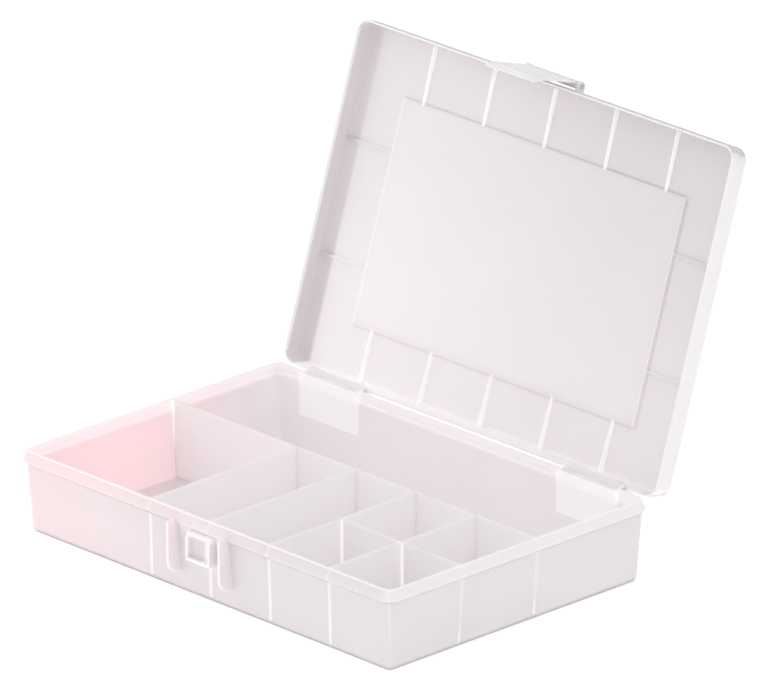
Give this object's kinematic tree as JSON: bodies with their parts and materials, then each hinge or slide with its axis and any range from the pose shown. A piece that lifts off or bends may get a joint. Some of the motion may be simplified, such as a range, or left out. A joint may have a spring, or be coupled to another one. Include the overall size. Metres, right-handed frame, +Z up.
{
  "type": "compartment storage box",
  "caption": "Flat storage box in milky translucent plastic: open tray with divider plates and a slanted rim, hinged ribbed lid with a label panel, and a front latch flap.",
  "frame": {"origin": "centre of the tray's underside", "axes": "+X along the long side to the right, +Y to the hinge side, +Z up"},
  "size_m": [0.254, 0.2385, 0.2118],
  "materials": {
    "milky_tray": "milky translucent polypropylene, soft sheen",
    "milky_divider": "milky translucent polypropylene, soft sheen",
    "milky_lid": "milky translucent polypropylene, soft sheen",
    "milky_latch": "milky translucent polypropylene, soft sheen",
    "milky_pin": "natural plastic rod"
  },
  "bodies": {
    "tray": {"tray": "milky_tray", "long_divider": "milky_divider", "cross_divider_1": "milky_divider", "cross_divider_2": "milky_divider", "cross_divider_3": "milky_divider", "cross_divider_4": "milky_divider", "short_divider_1": "milky_divider", "short_divider_2": "milky_divider", "hinge_pin_left": "milky_pin", "hinge_pin_right": "milky_pin"},
    "lid": {"lid": "milky_lid", "latch_pin": "milky_pin"},
    "latch": {"latch": "milky_latch"}
  },
  "joints": [
    {"name": "lid_hinge", "type": "hinge", "parent": "tray", "child": "lid", "pos_m": [0, 0.0857, 0.0388], "axis": [1, 0, 0], "range_deg": [0, 108]},
    {"name": "latch_hinge", "type": "hinge", "parent": "lid", "child": "latch", "pos_m": [0, 0.14477, 0.20183], "axis": [1, 0, 0], "range_deg": [-110, 2.4]}
  ]
}
